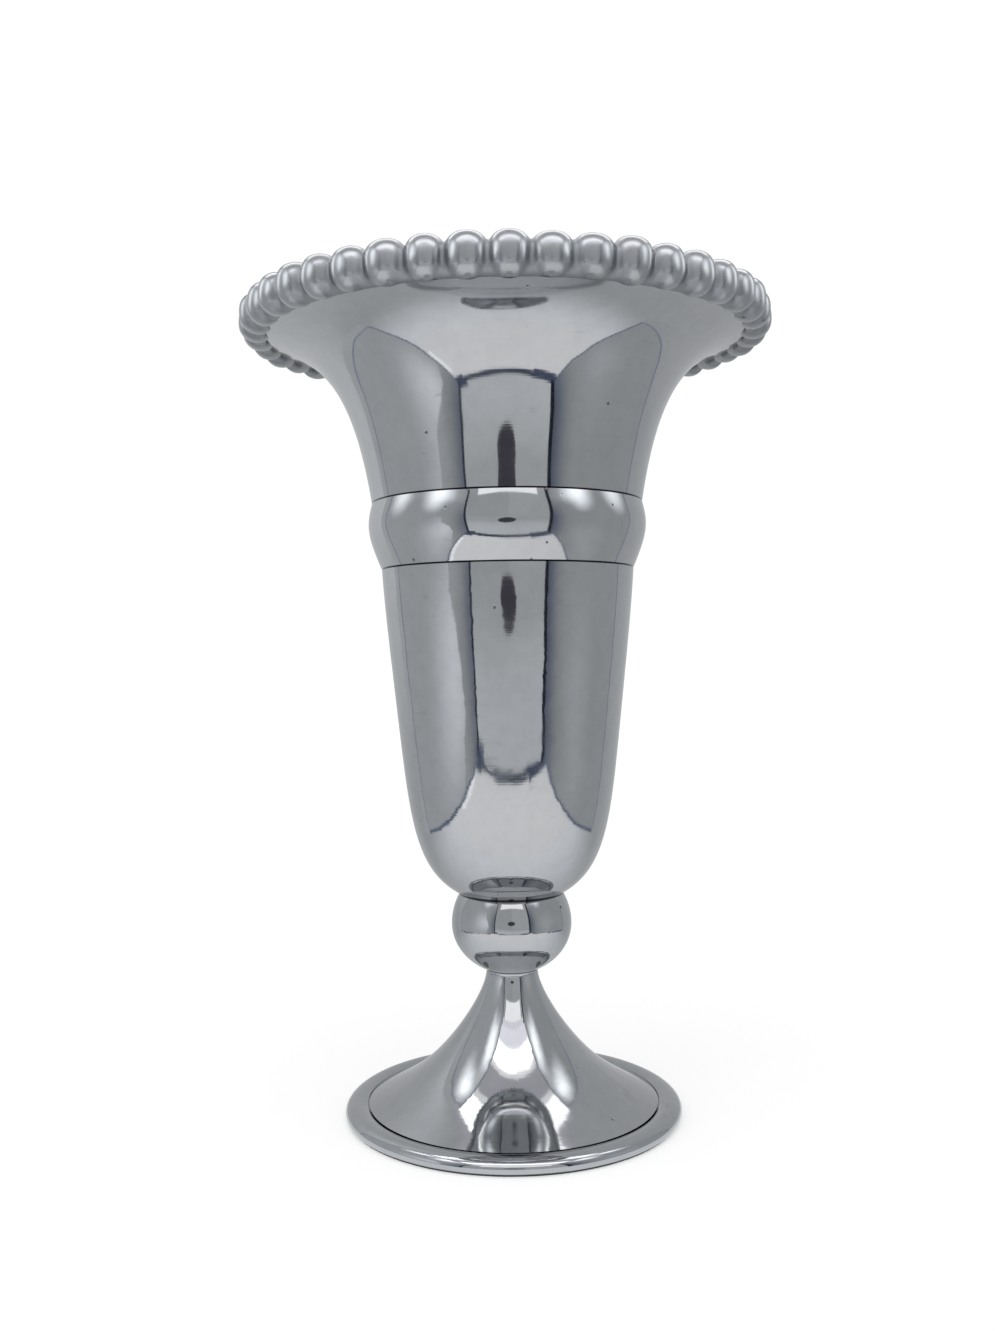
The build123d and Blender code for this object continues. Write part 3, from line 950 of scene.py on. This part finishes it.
class VASE_OT_stage(bpy.types.Operator):
    """Set up the floor, the light tent, the lamps and the camera"""

    bl_idname = "vase.stage"
    bl_label = "Stage"

    def floor(self, stage):
        near, far, near_glow, more_glow = 0.6, 2.2, 0.49, 0.12
        made = bmesh.new()
        bmesh.ops.create_grid(made, x_segments=1, y_segments=1, size=stage.floor_size / 2)
        material, tree, surface = start_material("pale_floor")
        matt = node(tree, "ShaderNodeBsdfDiffuse", {"Color": (*stage.floor_colour, 1.0)}).outputs[0]
        away = vector_calc(tree, "LENGTH", object_position(tree))["Value"]
        glowing = calc(tree, "MULTIPLY_ADD", smooth_step(tree, away, near, far), more_glow, near_glow)
        strength = calc(tree, "MULTIPLY", seen_directly(tree), glowing)
        white = node(tree, "ShaderNodeEmission", {"Color": (1, 1, 1, 1), "Strength": strength}).outputs[0]
        tree.links.new(node(tree, "ShaderNodeAddShader", {0: matt, 1: white}).outputs[0], surface)
        piece = put_in_scene("floor", made, material)

    def world(self, context):
        world = bpy.data.worlds.new("white_studio")
        world.use_nodes = True
        tree = world.node_tree
        tree.nodes.clear()
        strength = calc(tree, "MULTIPLY_ADD", seen_directly(tree), SEEN_WHITE, SOFT_LIGHT)
        back = node(tree, "ShaderNodeBackground", {"Color": (1, 1, 1, 1), "Strength": strength})
        tree.links.new(back.outputs[0], tree.nodes.new("ShaderNodeOutputWorld").inputs["Surface"])
        context.scene.world = world

    def walls(self, half, front, back, top):
        """The side walls with their hems and front posts."""
        hem, top_hem, end_hem, inset, fold_inset = 0.008, 0.014, 0.005, 0.995, 0.997
        for side, sign, base, middle, dark, post_width in TENT_SIDES:
            x = sign * half
            marks = [(*MIDDLE_SPOT, middle), *BAR_SPOTS, TOP_SPOT, DIM_SPOT]
            spots = [((x, y, z), (1.0, wide, tall), change) for y, z, wide, tall, change in marks]
            upright(f"wall_{side}", x, front, x, back, 0.0, top, COOL, base, spots)
            if side == "left":
                y, z, wide, tall, change = FOLD_SHEEN
                sheen = ((x, y, z), (1.0, wide, tall), change)
                corners = [(x * fold_inset, depth, height) for depth, height in FOLD_EDGE + FOLD_BACK]
                card("wall_sheen_left", corners, COOL, base, [*spots, sheen])
            inner = x * inset
            upright(f"wall_foot_{side}", inner, front, inner, back, 0.0, hem, NAVY, 0.22)
            upright(f"wall_top_{side}", inner, front, inner, back, top - top_hem, top, NAVY, 0.15)
            upright(f"wall_end_{side}", inner, back - end_hem, inner, back, 0.0, top, NAVY, 0.3)
            upright(f"post_{side}", x, front, x - sign * post_width, front, 0.0, top, NAVY, dark)

    def back_wall(self, half, back, top):
        """The back sheet, the sheets beside it and the floor before it."""
        corner_spot = ((-half, BACK_SHEET, top / 2), (0.26, 0.26, 0.26), 0.25)
        floor_spot = ((0.0, FLOOR_BACK, 0.0), (9.0, 0.26, 9.0), 0.5)
        upright("back_sheet", -half, BACK_SHEET, half, BACK_SHEET, 0.0, top, GREY, 0.56, [corner_spot])
        upright("back_left", -half, back, -half, BACK_SHEET, 0.0, top, GREY, 0.62)
        upright("back_right", half, BACK_SHEET, half, back, 0.0, top, GREY, 0.55)
        level("floor_back", -half, half, FLOOR_BACK, BACK_SHEET, 0.001, GREY, 0.56, [floor_spot])

    def ceiling(self, half, front, top):
        """The ceiling, with two light bars under it."""
        level("ceiling", -half, half, front, BACK_SHEET, top, LILAC, 0.62)
        level("ceiling_front", -half, half, front, FRONT_BAR[0], top - 0.001, LILAC, 1.45)
        bars = (
            ("lamp_bar_front", FRONT_BAR, 0.004, 2.6),
            ("lamp_glow_front", FRONT_GLOW, 0.003, 1.3),
            ("lamp_bar_back", BACK_BAR, 0.004, 2.4),
            ("lamp_glow_back", BACK_GLOW, 0.003, 1.2),
        )
        for name, (near, rear), drop, strength in bars:
            level(name, -BAR_HALF_LENGTH, BAR_HALF_LENGTH, near, rear, top - drop, WHITE, strength)

    def before_the_tent(self, half, front):
        """Plain tones that lie before the open front, and the front edge's hem and corners."""
        near_spot = ((0.0, front, 0.0), (9.0, 0.9, 9.0), 0.2)
        window_y = FAR + 0.1
        upright("room_left", -4.0, FAR, 0.0, FAR, -0.5, 5.0, GREY, 0.56)
        upright("room_right", 0.0, FAR, 4.0, FAR, -0.5, 5.0, GREY, 0.62)
        upright("room_window", -1.2, window_y, 1.2, window_y, 1.90, 2.80, WHITE, 1.6)
        upright("room_ceiling", -4.0, window_y, 4.0, window_y, 2.80, 5.0, LILAC, 1.25)
        level("front_table", -2.5, 2.5, FAR, front + 0.01, 0.001, GREY, 0.6, [near_spot])
        level("front_piping", -half, half, front - 0.006, front + 0.028, 0.002, NAVY, 0.10)
        # A strip on the floor by the left wall that glows: the painted sheen of light along a fold in the
        # tent
        level("fold_sheen_left", -half + 0.004, -half + 0.024, -0.35, -0.19, 0.002, WHITE, 1.5)
        level("corner_left", -half, -half + 0.055, front - 0.03, front + 0.045, 0.003, NAVY, 0.14)
        level("corner_right", 0.13, half, front - 0.015, front + 0.045, 0.003, NAVY, 0.14)

    def dark_oval(self, front):
        """The small dark shape in the middle of the open front."""
        middle, half_width, half_height, points = (-0.01, 0.145), 0.058, 0.034, 24
        turns = [2 * pi * number / points for number in range(points)]
        x, z = middle
        oval = [(x + half_width * cos(turn), front - 0.05, z + half_height * sin(turn)) for turn in turns]
        card("camera_card", oval, (1.0, 0.94, 1.15), 0.08)

    def lamps(self, context):
        aim = Vector((0, 0, 0.15))
        lamps = (("soft_top", (0.0, -0.3, 1.6), 1.6, 4.0), ("soft_left", (-1.2, -0.9, 0.9), 1.0, 1.5))
        for name, place, size, power in lamps:
            lamp = bpy.data.lights.new(name, "AREA")
            lamp.shape = "SQUARE"
            lamp.size = size
            lamp.energy = power
            holder = bpy.data.objects.new(name, lamp)
            holder.location = place
            holder.rotation_euler = (aim - Vector(place)).to_track_quat("-Z", "Y").to_euler()
            holder.visible_glossy = False
            context.scene.collection.objects.link(holder)

    def camera(self, context, stage):
        data = bpy.data.cameras.new("camera")
        data.lens = stage.lens
        data.sensor_width = 36.0
        data.sensor_fit = "AUTO"
        data.clip_start = 0.01
        data.clip_end = 100.0
        eye = bpy.data.objects.new("camera", data)
        turn, away = stage.camera_azimuth, stage.camera_distance
        eye.location = (sin(turn) * away, -cos(turn) * away, stage.camera_height)
        eye.rotation_euler = (pi / 2 - stage.camera_pitch, stage.camera_roll, turn + stage.camera_aim)
        context.scene.collection.objects.link(eye)
        context.scene.camera = eye

    def execute(self, context):
        stage = context.scene.vase_stage
        half, front, back, top = stage.tent_half_width, -stage.tent_front, stage.tent_back, stage.tent_height
        self.floor(stage)
        self.world(context)
        self.walls(half, front, back, top)
        self.back_wall(half, back, top)
        self.ceiling(half, front, top)
        self.before_the_tent(half, front)
        self.dark_oval(front)
        self.lamps(context)
        self.camera(context, stage)
        context.scene.view_settings.view_transform = "Standard"
        return {"FINISHED"}


class VASE_PT_panel(bpy.types.Panel):
    """Lists the vase's pieces"""

    bl_idname = "VASE_PT_panel"
    bl_label = "Trumpet Vase"
    bl_space_type = "VIEW_3D"
    bl_region_type = "UI"
    bl_category = "Vase"

    def draw(self, context):
        for operator in OPERATORS:
            self.layout.operator(operator.bl_idname)
        for name in GROUPS:
            box = self.layout.box()
            for label in GROUPS[name].__annotations__:
                box.prop(getattr(context.scene, name), label)


GROUPS = {"vase_metal": VaseMetal, "vase_rim": VaseRim, "vase_fixings": VaseFixings, "vase_stage": VaseStage}
OPERATORS = (
    VASE_OT_shells, VASE_OT_rim, VASE_OT_knop, VASE_OT_foot, VASE_OT_felt, VASE_OT_fixings, VASE_OT_stage,
)


def register():
    for item in (*GROUPS.values(), *OPERATORS, VASE_PT_panel):
        bpy.utils.register_class(item)
    for name, group in GROUPS.items():
        setattr(bpy.types.Scene, name, PointerProperty(type=group))


def unregister():
    for name in GROUPS:
        delattr(bpy.types.Scene, name)
    for item in (VASE_PT_panel, *reversed(OPERATORS), *reversed(GROUPS.values())):
        bpy.utils.unregister_class(item)


def main():
    register()
    bpy.ops.vase.shells()
    bpy.ops.vase.rim()
    bpy.ops.vase.knop()
    bpy.ops.vase.foot()
    bpy.ops.vase.felt()
    bpy.ops.vase.fixings()
    bpy.ops.vase.stage()


if __name__ == "__main__":
    main()
